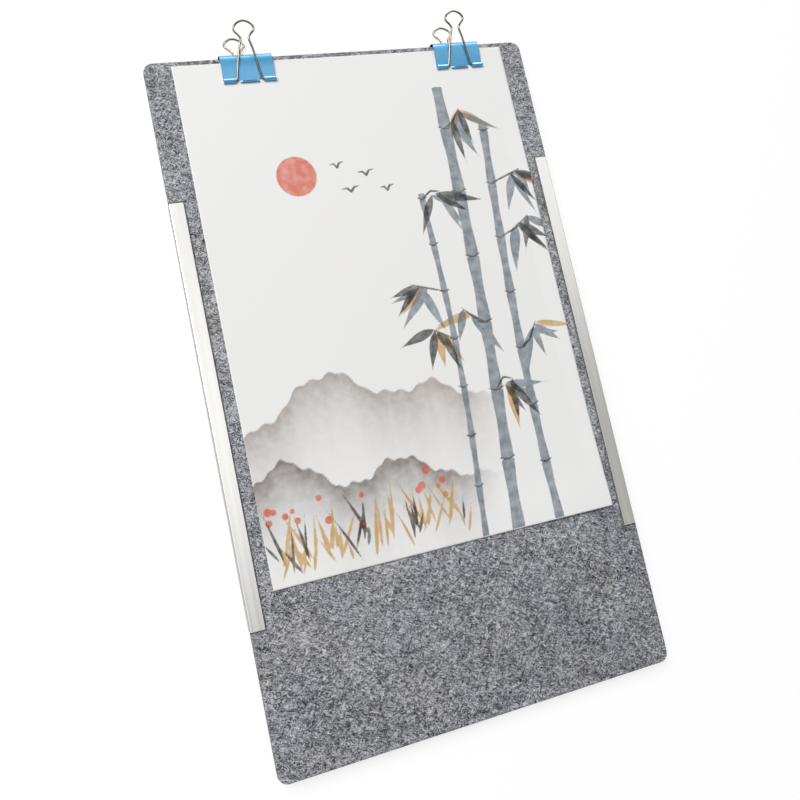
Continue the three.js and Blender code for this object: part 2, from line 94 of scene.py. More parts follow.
flip = np.diag([1.0, -1.0, -1.0])
to_camera = turn_matrix(CAMERA_TURN) @ flip
camera = bpy.data.objects.new("camera", bpy.data.cameras.new("camera"))
bpy.context.scene.collection.objects.link(camera)
bpy.context.scene.camera = camera
world_turn = np.eye(4)
world_turn[:3, :3] = to_camera.T @ flip
world_turn[:3, 3] = -to_camera.T @ CAMERA_SHIFT_MM * MM
camera.matrix_world = Matrix(world_turn.tolist())
camera.data.sensor_width = 36
camera.data.lens = FOCAL_PIXELS / PICTURE_SIDE * camera.data.sensor_width
camera.data.shift_x = (PICTURE_SIDE / 2 - PICTURE_CENTRE[0]) / PICTURE_SIDE
camera.data.shift_y = (PICTURE_CENTRE[1] - PICTURE_SIDE / 2) / PICTURE_SIDE
print("camera at", np.round(world_turn[:3, 3], 4), "lens", round(camera.data.lens, 2))

# %% [markdown]
# ## Colours and nodes
# Colours are written as the hex values that a picture shows. Shaders count in linear light, so one function
# turns a hex value into that. Another adds a node, with its settings and its links, which keeps each
# material short enough to read.

# %% Colour and node helpers


def linear(hex_colour):
    """An sRGB hex colour in linear light: up to 0.04045 it is divided by 12.92, and above that 0.055 is
    added, the sum is divided by 1.055 and the result is raised to the power 2.4."""
    share = np.array([int(hex_colour[i:i + 2], 16) for i in (1, 3, 5)]) / 255
    light = np.where(share <= 0.04045, share / 12.92, ((share + 0.055) / 1.055) ** 2.4)
    return (*light.tolist(), 1.0)


def add_node(tree, kind, inputs=None, **settings):
    """Adds one node. Settings are its properties; inputs are values, or outputs of other nodes to link."""
    made = tree.nodes.new(kind)
    for name, value in settings.items():
        setattr(made, name, value)
    for name, value in (inputs or {}).items():
        if isinstance(value, bpy.types.NodeSocket):
            tree.links.new(value, made.inputs[name])
        else:
            made.inputs[name].default_value = value
    return made


def new_material(name):
    """An empty node material with its output node, ready for a shader."""
    material = bpy.data.materials.new(name)
    material.use_nodes = True
    material.node_tree.nodes.clear()
    output = add_node(material.node_tree, "ShaderNodeOutputMaterial")
    return material, material.node_tree, output


def per_mm(size):
    """The scale of a texture whose features are this many millimetres wide, in a scene in metres."""
    return 1 / (size * MM)


print("mid grey in linear light:", np.round(linear("#808080"), 3))

# %% [markdown]
# ## The studio floor
# The board lies on a sweep of matt white paper. A plain white floor would render grey beside a lit board, so
# this one also glows, to the camera and to mirrors alone. It still takes the board's soft shadow, and the
# glow lights no matt surface, so the board's own colours stay true.

# %% Floor
FLOOR_HALF, FLOOR_GREY, FLOOR_GLOW = 4.0, "#959595", 0.74
floor_z = CAD_BOX[0][2]
floor_corners = FLOOR_HALF * np.array([[-1, -1], [1, -1], [1, 1], [-1, 1]], float)
floor_mesh = bpy.data.meshes.new("floor")
floor_mesh.from_pydata(np.column_stack([floor_corners, np.full(4, floor_z)]).tolist(), [], [[0, 1, 2, 3]])
floor = bpy.data.objects.new("floor", floor_mesh)
bpy.context.scene.collection.objects.link(floor)

# matt white paper: an even white with no shine, on which only the soft shadow shows
floor_material, tree, output = new_material("white_sweep")
rays = add_node(tree, "ShaderNodeLightPath")
seen = add_node(tree, "ShaderNodeMath", {0: rays.outputs["Is Camera Ray"], 1: rays.outputs["Is Glossy Ray"]},
                operation="ADD")
lift = add_node(tree, "ShaderNodeMath", {0: seen.outputs[0], 1: FLOOR_GLOW}, operation="MULTIPLY")
glow = add_node(tree, "ShaderNodeEmission", {"Color": linear("#ffffff"), "Strength": lift.outputs[0]})
chalk = add_node(tree, "ShaderNodeBsdfDiffuse", {"Color": linear(FLOOR_GREY)})
both = add_node(tree, "ShaderNodeAddShader", {0: chalk.outputs[0], 1: glow.outputs[0]})
tree.links.new(both.outputs[0], output.inputs["Surface"])
floor_mesh.materials.append(floor_material)
print("floor at", round(floor_z / MM, 2), "mm")

# %% [markdown]
# ## The sky
# Most of the light comes from a large soft sky, brighter behind the board's top edge. A ring of small lamps
# would do too, but flat metal mirrors whatever stands over it, so a broad sky that falls off evenly gives the
# channels their long fade from white to grey. Round metal and enamel mirror far more of the room, so dark
# screens in the sky shade the wires and the upper part of the clips.

# %% Sky
SKY_BRIGHT, SKY_DIM, ROOM, SKY_FILL = 1.08, 0.47, 0.06, 0.42
SKY_SLANT, DIM_AT, BRIGHT_AT = -0.59, -0.31, -0.07
HORIZON_LOW, HORIZON_HIGH = 0.02, 0.4
SCREENS = [
    # each dark screen: its cover, and along each axis where it begins and where it is full
    (0.94, [("Y", 0.36, 0.46), ("X", -0.20, 0.05)]),
    (0.96, [("Y", 0.15, 0.26), ("X", 0.185, 0.215), ("X", 0.37, 0.33)]),
    (0.45, [("Y", -0.10, 0.04), ("X", 0.36, 0.40), ("X", 0.48, 0.45)]),
    (0.94, [("X", 0.70, 0.84)]),
    (0.40, [("Y", -0.32, -0.50)]),
]
sky = bpy.data.worlds.new("soft_sky")
sky.use_nodes = True
bpy.context.scene.world = sky
tree = sky.node_tree
tree.nodes.clear()
way = add_node(tree, "ShaderNodeSeparateXYZ",
               {0: add_node(tree, "ShaderNodeTexCoord").outputs["Generated"]})
lean = add_node(tree, "ShaderNodeMath", {0: way.outputs["X"], 1: SKY_SLANT, 2: way.outputs["Y"]},
                operation="MULTIPLY_ADD")
fade = add_node(tree, "ShaderNodeMapRange",
                {"Value": lean.outputs[0], "From Min": DIM_AT, "From Max": BRIGHT_AT,
                 "To Min": SKY_DIM, "To Max": SKY_BRIGHT}, interpolation_type="SMOOTHSTEP")
over = add_node(tree, "ShaderNodeMapRange",
                {"Value": way.outputs["Z"], "From Min": HORIZON_LOW, "From Max": HORIZON_HIGH},
                interpolation_type="SMOOTHSTEP")
box = add_node(tree, "ShaderNodeMix", {0: over.outputs[0], 2: ROOM, 3: fade.outputs[0]})
for cover, spans in SCREENS:
    for axis, begin, full in spans:
        cover = add_node(tree, "ShaderNodeMapRange",
                         {"Value": way.outputs[axis], "From Min": begin, "From Max": full, "To Min": 0.0,
                          "To Max": cover}, interpolation_type="SMOOTHSTEP").outputs[0]
    box = add_node(tree, "ShaderNodeMix", {0: cover, 2: box.outputs[0], 3: ROOM})
rays = add_node(tree, "ShaderNodeLightPath")
share = add_node(tree, "ShaderNodeMapRange",
                 {"Value": rays.outputs["Is Glossy Ray"], "To Min": SKY_FILL, "To Max": 1.0})
fill = add_node(tree, "ShaderNodeMath", {0: box.outputs[0], 1: share.outputs[0]}, operation="MULTIPLY")
strength = add_node(tree, "ShaderNodeMix", {0: rays.outputs["Is Camera Ray"], 2: fill.outputs[0], 3: 1.0})
shine = add_node(tree, "ShaderNodeBackground", {"Color": linear("#ffffff"), "Strength": strength.outputs[0]})
tree.links.new(shine.outputs[0], add_node(tree, "ShaderNodeOutputWorld").inputs["Surface"])
print("sky:", len(SCREENS), "dark screens,", len(tree.nodes), "nodes")

# %% [markdown]
# ## The lamps
# One large soft lamp stands beyond the board's upper left corner. Two bright cards, which light no matt
# surface, draw a line along the wires and along the clips' lips. A photographer would hang sheets of white
# card there, and an area lamp of the same size looks the same in a mirror.

# %% Lamps
LAMPS = [
    # name, place and what it faces, width and height, all in metres, watts, whether it lights matt surfaces
    ("soft_lamp", (-1.80, 1.90, 3.60), (0.0, 0.28, 0.0), (2.3, 2.3), 161.0, True),
    ("left_card", (-1.35, 1.45, 1.35), (0.0, 0.56, 0.0), (0.35, 1.20), 6.6, False),
    ("top_card", (0.41, 1.45, 0.62), (0.01, 0.55, 0.0), (1.0, 0.85), 18.0, False),
]
for name, spot, target, (across, upward), watts, on_matt in LAMPS:
    lamp = bpy.data.objects.new(name, bpy.data.lights.new(name, "AREA"))
    lamp.data.shape, lamp.data.size, lamp.data.size_y = "RECTANGLE", across, upward
    lamp.data.energy = watts
    lamp.visible_diffuse = on_matt
    lamp.location = spot
    lamp.rotation_euler = (Vector(target) - Vector(spot)).to_track_quat("-Z", "Y").to_euler()
    bpy.context.scene.collection.objects.link(lamp)
bpy.context.scene.view_settings.view_transform = "Standard"
print("lamps:", [name for name, *_ in LAMPS])

# %% [markdown]
# ## A closed sheet on a grid
# Felt and paper are both thin sheets. Each is a grid of points with an upper and a lower face, joined
# round the rim, so that it has a real thickness. A flat plane with a Solidify modifier would also do, but
# the rim of felt is soft and round, so both faces are worked out as heights over the same grid.

# %% Sheet helpers


def piece(name, points, faces, material):
    """A smooth mesh object in the scene from arrays of points and faces."""
    mesh = bpy.data.meshes.new(name)
    mesh.from_pydata(points.tolist(), [], [list(face) for face in faces])
    mesh.polygons.foreach_set("use_smooth", np.ones(len(mesh.polygons), bool))
    mesh.materials.append(material)
    mesh.update()
    made = bpy.data.objects.new(name, mesh)
    bpy.context.scene.collection.objects.link(made)
    return made


def grid_faces(rows, columns, start=0):
    """The quads of a grid of points that are numbered row by row, turning anticlockwise seen from above."""
    low = start + (np.arange(rows - 1)[:, None] * columns + np.arange(columns - 1)[None, :]).ravel()
    return np.column_stack([low, low + 1, low + columns + 1, low + columns])


def rim_loop(rows, columns):
    """The numbers of a grid's rim points, anticlockwise seen from above."""
    return np.concatenate([
        np.arange(columns - 1),
        np.arange(rows - 1) * columns + columns - 1,
        (rows - 1) * columns + np.arange(columns - 1, 0, -1),
        np.arange(rows - 1, 0, -1) * columns,
    ])


def two_faced(x, y, top, bottom):
    """A closed sheet: the upper grid, the lower grid with its quads turned over, and a wall round the rim."""
    rows, columns = x.shape
    upper = np.column_stack([x.ravel(), y.ravel(), top.ravel()])
    lower = np.column_stack([x.ravel(), y.ravel(), bottom.ravel()])
    count = rows * columns
    rim = rim_loop(rows, columns)
    after = np.roll(rim, -1)
    wall = np.column_stack([rim + count, after + count, after, rim])
    faces = np.concatenate([grid_faces(rows, columns), grid_faces(rows, columns, count)[:, ::-1], wall])
    return np.concatenate([upper, lower]), faces


def smooth_step(low, high, value):
    """0 below low, 1 above high, and an S-shaped rise of 3 t squared less 2 t cubed between them."""
    t = np.clip((value - low) / (high - low), 0, 1)
    return t * t * (3 - 2 * t)


def ripple(x, y, size, seed):
    """A gentle height field from -1 to 1: the mean of eight sine waves of about this size, each turned and
    shifted at random."""
    draw = np.random.default_rng(seed)
    total = np.zeros_like(x)
    for angle, phase, share in draw.random((8, 3)):
        pitch = 2 * math.pi / (size * (0.7 + 0.6 * share))
        along = x * math.cos(angle * 2 * math.pi) + y * math.sin(angle * 2 * math.pi)
        total += np.sin(along * pitch + phase * 2 * math.pi)
    return total / 8


print("grid of 3 by 4 points:", len(grid_faces(3, 4)), "quads,", len(rim_loop(3, 4)), "rim points")

# %% [markdown]
# ## Felt fibres
# Pressed felt is a mat of grey wool and rayon fibres in several shades. Light and dark hairs lie every way in
# it, curl for a centimetre or so and vanish under their neighbours. Hairs could be drawn one by one, but
# there are far too many, so each family of hairs is a noise that is stretched along its direction. The
# highest of these noises gives the pale hairs and the lowest gives the dark ones. Hairs are drawn a little
# coarser than life, because real ones are finer than a pixel.

# %% Felt fibres
HAIRS = [
    # direction in degrees, length and width in mm, each lying over the last
    (28, 5.0, 0.48), (80, 4.5, 0.45), (125, 4.5, 0.47),
    (-15, 5.0, 0.48), (52, 6.5, 0.56), (155, 5.0, 0.52),
]
CURL_SIZE, CURL_REACH = 4, 0.004
FAMILY_SHIFT, DARK_SHIFT = 0.013, 0.5
# pressed wool: dead matt and soft, with single pale and dark hairs that keep the eye moving
felt_material, tree, output = new_material("pressed_felt")
place = add_node(tree, "ShaderNodeTexCoord").outputs["Object"]
sway = add_node(tree, "ShaderNodeTexNoise", {"Vector": place, "Scale": per_mm(CURL_SIZE), "Detail": 1.0})
sway = add_node(tree, "ShaderNodeVectorMath", {0: sway.outputs["Color"], 1: (0.5, 0.5, 0.5)},
                operation="SUBTRACT")
curled = add_node(tree, "ShaderNodeVectorMath",
                  {0: sway.outputs[0], 1: (CURL_REACH, CURL_REACH, 0.0), 2: place}, operation="MULTIPLY_ADD")
hairs = {}
for number, (angle, length, width) in enumerate(HAIRS):
    for extreme in ("MAXIMUM", "MINIMUM"):
        shift = FAMILY_SHIFT * number + (DARK_SHIFT if extreme == "MINIMUM" else 0.0)
        lay = add_node(tree, "ShaderNodeMapping",
                       {"Vector": curled.outputs[0], "Rotation": (0, 0, math.radians(angle)),
                        "Location": (shift, 2 * shift, 0.0),
                        "Scale": (length * MM, width * MM, width * MM)}, vector_type="TEXTURE")
        hair = add_node(tree, "ShaderNodeTexNoise", {"Vector": lay.outputs[0], "Scale": 1.0, "Detail": 0.0})
        hair = hair.outputs[0]
        if extreme in hairs:
            hair = add_node(tree, "ShaderNodeMath", {0: hairs[extreme], 1: hair},
                            operation=extreme).outputs[0]
        hairs[extreme] = hair
print("felt:", len(HAIRS), "families of hairs,", len(tree.nodes), "nodes")

# %% [markdown]
# ## Felt colour
# The felt has paler and darker drifts a few centimetres wide, some a little bluer and some a little browner,
# and painted shade darkens it a little towards its lower right corner and more along the channels' rims. A
# picture of felt could be laid over it, but noises of two sizes never repeat and need no file.

# %% Felt colour
# the darkest of these colours is a painted shade along the channels' rims
FELT_GREY, FELT_PALE, FELT_DARK, FELT_RIM_SHADE = "#888a90", "#d6d7da", "#36373c", "#1f2023"
FELT_COOL, FELT_WARM = "#f9fbff", "#fffdfa"
DRIFT_SIZE, DRIFT_TONE, HUE_SIZE = 22, 0.029, 55
# painted shade: the felt turns a little darker towards its lower right corner
CORNER_SHADE_SLANT, CORNER_SHADE_REACH, CORNER_SHADE_TONE = -0.3, 0.2, 0.028
SHADE_LOW, SHADE_HIGH = 0.856, 1.144
# how far the painted shade along the channels' rims grows, and how dark it gets
RIM_SHADE_FULL, RIM_SHADE_COVER = 0.6, 0.72
drift = add_node(tree, "ShaderNodeTexNoise", {"Vector": place, "Scale": per_mm(DRIFT_SIZE), "Detail": 3.0})
tone = add_node(tree, "ShaderNodeMapRange", {"Value": drift.outputs[0], "From Min": 0.3, "From Max": 0.7,
                                             "To Min": -DRIFT_TONE, "To Max": DRIFT_TONE})
ground = add_node(tree, "ShaderNodeSeparateXYZ", {0: place})
# painted shade towards the lower right corner, from a slant of x and y
slant = add_node(tree, "ShaderNodeMath", {0: ground.outputs["X"], 1: CORNER_SHADE_SLANT, 2: ground.outputs["Y"]},
                 operation="MULTIPLY_ADD")
corner_shade = add_node(tree, "ShaderNodeMapRange",
                   {"Value": slant.outputs[0], "From Min": 0.0, "From Max": CORNER_SHADE_REACH,
                    "To Min": -CORNER_SHADE_TONE, "To Max": 0.0}, interpolation_type="SMOOTHSTEP")
tone = add_node(tree, "ShaderNodeMath", {0: tone.outputs[0], 1: corner_shade.outputs[0]}, operation="ADD")
shade = add_node(tree, "ShaderNodeMath", {0: hairs["MAXIMUM"], 1: hairs["MINIMUM"]}, operation="ADD")
shade = add_node(tree, "ShaderNodeMath", {0: shade.outputs[0], 1: tone.outputs[0]}, operation="ADD")
level = add_node(tree, "ShaderNodeMapRange",
                 {"Value": shade.outputs[0], "From Min": SHADE_LOW, "From Max": SHADE_HIGH})
ramp = add_node(tree, "ShaderNodeValToRGB", {0: level.outputs[0]})
ramp.color_ramp.elements[0].color = linear(FELT_DARK)
ramp.color_ramp.elements[1].color = linear(FELT_PALE)
ramp.color_ramp.elements.new(0.5).color = linear(FELT_GREY)
hue = add_node(tree, "ShaderNodeTexNoise", {"Vector": place, "Scale": per_mm(HUE_SIZE), "Detail": 2.0})
hue = add_node(tree, "ShaderNodeMapRange", {"Value": hue.outputs[0], "From Min": 0.35, "From Max": 0.65})
hue = add_node(tree, "ShaderNodeMix", {0: hue.outputs[0], 6: linear(FELT_COOL), 7: linear(FELT_WARM)},
               data_type="RGBA")
dye_and_shade = add_node(tree, "ShaderNodeMix", {0: 1.0, 6: ramp.outputs[0], 7: hue.outputs[2]}, data_type="RGBA",
                blend_type="MULTIPLY")
# painted shade along the channels' rims, read from the felt's attribute and mixed over the colour
rim_shade = add_node(tree, "ShaderNodeAttribute", attribute_type="GEOMETRY", attribute_name="rim_shade")
rim_shade = add_node(tree, "ShaderNodeMapRange", {"Value": rim_shade.outputs["Fac"], "From Min": 0.0,
                                             "From Max": RIM_SHADE_FULL, "To Min": 0.0, "To Max": RIM_SHADE_COVER})
dye_and_shade = add_node(tree, "ShaderNodeMix", {0: rim_shade.outputs[0], 6: dye_and_shade.outputs[2], 7: linear(FELT_RIM_SHADE)},
                data_type="RGBA")
bump = add_node(tree, "ShaderNodeBump", {"Height": shade.outputs[0], "Distance": 0.25 * MM, "Strength": 0.5})
wool = add_node(tree, "ShaderNodeBsdfPrincipled",
                {"Base Color": dye_and_shade.outputs[2], "Roughness": 1.0, "Specular IOR Level": 0.1,
                 "Sheen Weight": 0.1, "Sheen Roughness": 0.6, "Normal": bump.outputs[0]})
tree.links.new(wool.outputs[0], output.inputs["Surface"])
print("felt:", len(tree.nodes), "nodes")

# %% [markdown]
# ## A grid for the felts
# Each half of the board has its own felt, cut with a knife and glued down. A bevelled slab could give its
# rounded rim, but not the groove that the edge channels press into it. So each felt is a grid of points. Its
# rows and columns lie close together where the height changes fast: at the rim, at the fold and round the
# channels.

# %% Felt grid
CORNER = 8 * MM
STRIP_ROOM = 0.2 * MM
ROW_STEP = 0.0025
INSIDE_HALF, INSIDE_COLUMNS, FIXED_HALF = 0.156, 125, 0.160


def strip_room(node):
    """The rectangle of felt that a channel presses: its box, grown by the clearance, as x and y limits."""
    low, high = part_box(node)
    return low.x - STRIP_ROOM, high.x + STRIP_ROOM, low.y - STRIP_ROOM, high.y + STRIP_ROOM


def felt_rows(low, high, outer_y, fold_y, inward):
    """The y of each row: even steps, and closer ones by the outer rim, the fold and the channels' ends."""
    near_rim = np.array([0, 0.06, 0.2, 0.45, 0.8, 1.3, 2, 3, 4.2, 5.5, 7, 8]) * MM
    near_fold = np.array([0, 0.08, 0.25, 0.6, 1.2, 2.2]) * MM
    near_end = np.array([-0.3, -0.02, 0.02, 0.4, 0.8, 1.2, 1.6]) * MM
    steps = [outer_y + inward * near_rim, np.arange(low.y + 0.010, high.y - 0.003, ROW_STEP),
             fold_y - inward * near_fold]
    for room in rooms:
        for end, sign in ((room[2], -1), (room[3], 1)):
            close = end + sign * near_end
            steps.append(close[(close > low.y + 0.009) & (close < high.y - 0.003)])
    return np.unique(np.round(np.concatenate(steps), 6))


def felt_columns(limits):
    """The x of each point: fixed columns inside, and outer ones at set shares of the way to a row's limit."""
    near_groove = rooms[1][0] - np.array([-0.3, 0, 0.3, 0.6, 1.0, 1.6]) * MM
    inside = np.concatenate([np.linspace(-INSIDE_HALF, INSIDE_HALF, INSIDE_COLUMNS),
                             near_groove, -near_groove, [-FIXED_HALF, FIXED_HALF]])
    inside = np.unique(np.round(inside, 6))
    outside = np.array([0.12, 0.3, 0.5, 0.65, 0.78, 0.86, 0.92, 0.96, 0.98, 0.994, 1.0])
    left = -FIXED_HALF - (limits[0] - FIXED_HALF)[:, None] * outside[None, ::-1]
    right = FIXED_HALF + (limits[1] - FIXED_HALF)[:, None] * outside[None, :]
    return np.hstack([left, np.broadcast_to(inside, (len(limits[0]), len(inside))), right])


rooms = [strip_room("left_strip"), strip_room("right_strip")]
print("felt under the channels in mm:", np.round(np.array(rooms) / MM, 1).tolist())

# %% [markdown]
# ## The two felts
# A felt's outer rim is soft and round, the two cuts at the fold close up against each other, and the channels
# sink into it. The height of the top face is the felt's thickness, less a quarter-round at the rim, less the
# groove. It could be carved with Boolean cuts, but those leave hard edges. A painted shade for each point
# goes
# into an attribute for the material: most along the channels' rims, less along the right one, and hardly at
# all where a channel covers the felt.

# %% Make the felts
RIM_ROUND = 0.9 * MM
FOLD_CLOSE = 0.2 * MM
PRESS_RUN = 1.6 * MM
STRIP_SHEET = 0.8 * MM
RIPPLE_SIZE, RIPPLE_HIGH, RIPPLE_SEED = 0.03, 0.06 * MM, 4
# the painted rim shade is fainter along the right channel, and mostly left off where a channel covers the
# felt
RIGHT_RIM_SHADE, COVERED_SHADE_CUT = 0.3, 0.8


def quarter_round(distance, radius):
    """How far a rounded rim drops: the radius less the root of radius squared less (radius - d) squared."""
    inward = np.clip(radius - distance, 0, radius)
    return radius - np.sqrt(radius ** 2 - inward ** 2)


def press(x, y):
    """The groove and the painted shade along the channels' rims, each from 0 to 1. The groove is 1 under a
    channel and falls in an S-shape over its run beyond it. The painted shade is the groove, less most of it
    under the channel, and fainter on the right."""
    pressed, rim_shade = np.zeros_like(x), np.zeros_like(x)
    for room in rooms:
        away = np.maximum.reduce([room[0] - x, x - room[1], room[2] - y, y - room[3], np.zeros_like(x)])
        under = np.minimum.reduce([x - room[0], room[1] - x, y - room[2], room[3] - y])
        dip = 1 - smooth_step(0, PRESS_RUN, away)
        pressed = np.maximum(pressed, dip)
        rim_shade = np.maximum(rim_shade, dip * (1 - COVERED_SHADE_CUT * smooth_step(0, PRESS_RUN, under)))
    return pressed, np.where((x > 0) & (y > rooms[1][2]), RIGHT_RIM_SHADE, 1.0) * rim_shade


def make_felt(node, body, outer_is_high):
    """A felt over its solid's box. Columns keep their x inside, and the outermost ones follow the outline."""
    low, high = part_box(node)
    half = high.x
    inward = -1 if outer_is_high else 1
    outer_y, fold_y = (high.y, low.y - FOLD_CLOSE) if outer_is_high else (low.y, high.y + FOLD_CLOSE)
    core_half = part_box("upper_board")[1].x

    rows = felt_rows(low, high, outer_y, fold_y, inward)
    depth = np.abs(rows - outer_y)
    arc = np.sqrt(np.clip(CORNER ** 2 - np.clip(CORNER - depth, 0, None) ** 2, 0, None))
    reach = np.where(depth < CORNER, half - CORNER + arc, half)
    limits = [np.where((rows > room[2]) & (rows < room[3]), core_half, reach) for room in rooms]
    x = felt_columns(limits)
    y = np.broadcast_to(rows[:, None], x.shape)

    to_side = np.where(x < 0, limits[0][:, None], limits[1][:, None]) - np.abs(x)
    to_outer = np.broadcast_to(depth[:, None], x.shape)
    in_corner = (np.abs(x) > half - CORNER) & (to_outer < CORNER)
    to_arc = CORNER - np.hypot(np.abs(x) - half + CORNER, CORNER - to_outer)
    rim = np.where(in_corner, np.clip(to_arc, 0, None), np.minimum(to_side, to_outer))
    pressed, rim_shade = press(x, y)
    groove_deep = high.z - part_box("left_strip")[1].z + STRIP_SHEET
    top = high.z - quarter_round(rim, RIM_ROUND)
    top = np.minimum(top, high.z - groove_deep * pressed)
    waves = 1 + ripple(x, y, RIPPLE_SIZE, RIPPLE_SEED)
    top -= RIPPLE_HIGH * waves * (1 - pressed) * smooth_step(0, RIM_ROUND, rim)
    points, faces = two_faced(x, y, top, np.full_like(x, low.z))
    made = piece(node.replace("felt", "felt_face"), points, faces, felt_material)
    # the painted rim shade goes on the upper face only
    values = np.concatenate([rim_shade.ravel(), np.zeros(x.size)]).astype(np.float32)
    made.data.attributes.new("rim_shade", "FLOAT", "POINT").data.foreach_set("value", values)
    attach(made, body)
    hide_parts(node)
    print(made.name, x.shape, "groove", round(groove_deep / MM, 2), "mm deep")


make_felt("felt_upper", "upper_half", True)
make_felt("felt_lower", "lower_half", False)

# %% [markdown]
# ## The sheet of paper
# A sheet of heavy drawing paper lies on the felt under the clips. It is stiff enough to lie flat, but it
# lifts a little at its free lower edge, most at one corner. The lift could be simulated as cloth, but a sheet
# that is held at the top only bends one way, so a smooth curve of the two distances does it.

# %% Make the sheet
PAPER_STEP = 1.15 * MM
CORNER_LIFT, LOWER_LIFT, SIDE_LIFT = 3.2 * MM, 1.5 * MM, 0.7 * MM
# the underside is hardly seen, so it has few rows
UNDER_ROWS = 25
low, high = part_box("paper_sheet")
wide = round((high.x - low.x) / PAPER_STEP) + 1
tall = round((high.y - low.y) / PAPER_STEP) + 1
x, y = np.meshgrid(np.linspace(low.x, high.x, wide), np.linspace(low.y, high.y, tall))
across = (x - low.x) / (high.x - low.x)
down = (high.y - y) / (high.y - low.y)
# each lift begins and is full at these shares of the width and the length
lift = CORNER_LIFT * smooth_step(0.55, 1.0, across) ** 1.5 * smooth_step(0.72, 1.0, down) ** 1.5
side_lift = SIDE_LIFT * smooth_step(0.94, 1.0, across) * smooth_step(0.1, 0.3, down)
lift += np.maximum(LOWER_LIFT * smooth_step(0.9, 1.0, down), side_lift)
top = high.z + lift
count = x.size
kept = np.unique(np.linspace(0, tall - 1, UNDER_ROWS).round().astype(int))
upper = np.column_stack([x.ravel(), y.ravel(), top.ravel()])
under = np.column_stack([x[kept].ravel(), y[kept].ravel(), (top[kept] - (high.z - low.z)).ravel()])
step = np.arange(wide - 1)
far, last = (tall - 1) * wide, count + (len(kept) - 1) * wide
faces = grid_faces(tall, wide).tolist() + grid_faces(len(kept), wide, count)[:, ::-1].tolist()
faces += np.column_stack([count + step, count + step + 1, step + 1, step]).tolist()
faces += np.column_stack([far + step, far + step + 1, last + step + 1, last + step]).tolist()
for number, (first, after) in enumerate(zip(kept[:-1], kept[1:])):
    run = np.arange(first, after + 1) * wide
    here, there = count + number * wide, count + (number + 1) * wide
    faces.append([*run.tolist(), there, here])
    faces.append([*(run[::-1] + wide - 1).tolist(), here + wide - 1, there + wide - 1])
paper_material, paper_tree, paper_output = new_material("drawing_paper")
paper = piece("paper", np.concatenate([upper, under]), faces, paper_material)
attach(paper, "sheet")
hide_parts("paper_sheet")
print("paper:", x.shape, "points, corner lifted", round(float(lift.max()) / MM, 2), "mm")

# %% [markdown]
# ## A brush for the sheet
# The sheet carries an ink-and-wash painting. This one is a plain design of its own: two rows of misty hills,
# a low sun with birds, and bamboo over dry grass. Each motif is a field over the sheet, the distance in
# millimetres inside its edge, so that the brush's edge stays sharp between grid points. A picture file could
# hold it, but fields need no file and take any colour.

# %% Brush helpers
NO_PAINT = -99.0
# millimetres across from the sheet's left edge, and up from its lower edge
a = across * (high.x - low.x) / MM
b = (1 - down) * (high.y - low.y) / MM


def stroke(points, half_width):
    """A brush stroke: its half width, thin at both ends, less the distance to the nearest stretch of its
    line."""
    field = np.full_like(a, NO_PAINT)
    count = len(points) - 1
    for number in range(count):
        start, end = np.array(points[number], float), np.array(points[number + 1], float)
        run = end - start
        t = np.clip(((a - start[0]) * run[0] + (b - start[1]) * run[1]) / (run @ run), 0, 1)
        gap = np.hypot(a - start[0] - t * run[0], b - start[1] - t * run[1])
        press_down = 0.45 + 0.55 * np.sin(math.pi * np.clip((number + t) / count, 0, 1))
        field = np.maximum(field, half_width * press_down - gap)
    return field


def leaf(root, degrees, length, half_width):
    """A leaf: across its line it is 6.75 u (1 - u) squared of the half width, fullest at a third of its
    length, less the distance v from its line."""
    way = np.array([math.cos(math.radians(degrees)), math.sin(math.radians(degrees))])
    u = ((a - root[0]) * way[0] + (b - root[1]) * way[1]) / length
    v = (b - root[1]) * way[0] - (a - root[0]) * way[1] - 0.06 * length * u * u
    inside = np.clip(u, 0, 1)
    return np.where((u > 0) & (u < 1), half_width * 6.75 * inside * (1 - inside) ** 2, NO_PAINT) - np.abs(v)


def hill(ridge, fade):
    """A misty hill: full at its ridge, then e to the power of minus the depth below it over the fade."""
    depth = ridge - b
    return smooth_step(-0.4, 0.8, depth) * np.exp(-np.clip(depth, 0, None) / fade)


draw = np.random.default_rng(11)
paint = {name: np.full_like(a, NO_PAINT) for name in ("ink", "slate", "ochre", "vermilion")}
print("sheet to paint:", round(float(a.max())), "by", round(float(b.max())), "mm")

# %% [markdown]
# ## Hills, sun and birds
# Far things are painted first with a wet brush. A hill is a ridge line of a few bumps and waves, strong at
# its edge and fading into mist below. Noise could draw the ridge, but sines are easier to place on the sheet.

# %% Hills, sun and birds
paint["far_hill"] = hill(112 + 42 * np.exp(-((a - 72) / 46) ** 2) + 20 * np.exp(-((a - 158) / 30) ** 2)
                         + 2.4 * np.sin(a / 6.1) + 1.3 * np.sin(a / 2.3), 34) * smooth_step(235, 175, a)
paint["near_hill"] = hill(52 + 40 * np.exp(-((a - 26) / 38) ** 2) + 26 * np.exp(-((a - 118) / 33) ** 2)
                          + 2.0 * np.sin(a / 4.3 + 2) + 1.0 * np.sin(a / 1.7), 30) * smooth_step(215, 150, a)
SUN_RADIUS, SUN_ACROSS, SUN_UP = 17, 84, 318
paint["vermilion"] = np.maximum(paint["vermilion"], SUN_RADIUS - np.hypot(a - SUN_ACROSS, b - SUN_UP))
BIRDS = [(128, 300, 8), (144, 313, 7), (120, 322, 6), (160, 298, 6)]
for left, high_up, span in BIRDS:
    wings = [(left - span, high_up + 3), (left - span * 0.4, high_up + 3.4), (left, high_up),
             (left + span * 0.4, high_up + 4), (left + span, high_up + 4.6)]
    paint["ink"] = np.maximum(paint["ink"], stroke(wings, 1.0))
print("birds:", len(BIRDS))

# %% [markdown]
# ## Bamboo
# Each stem is one upward pull of a flat brush that stops at every joint. The joints get a dark stroke, and
# twigs with hanging leaves grow from some of them. The leaves could be placed by hand, but seeded draws give
# a natural scatter that is the same on every run.

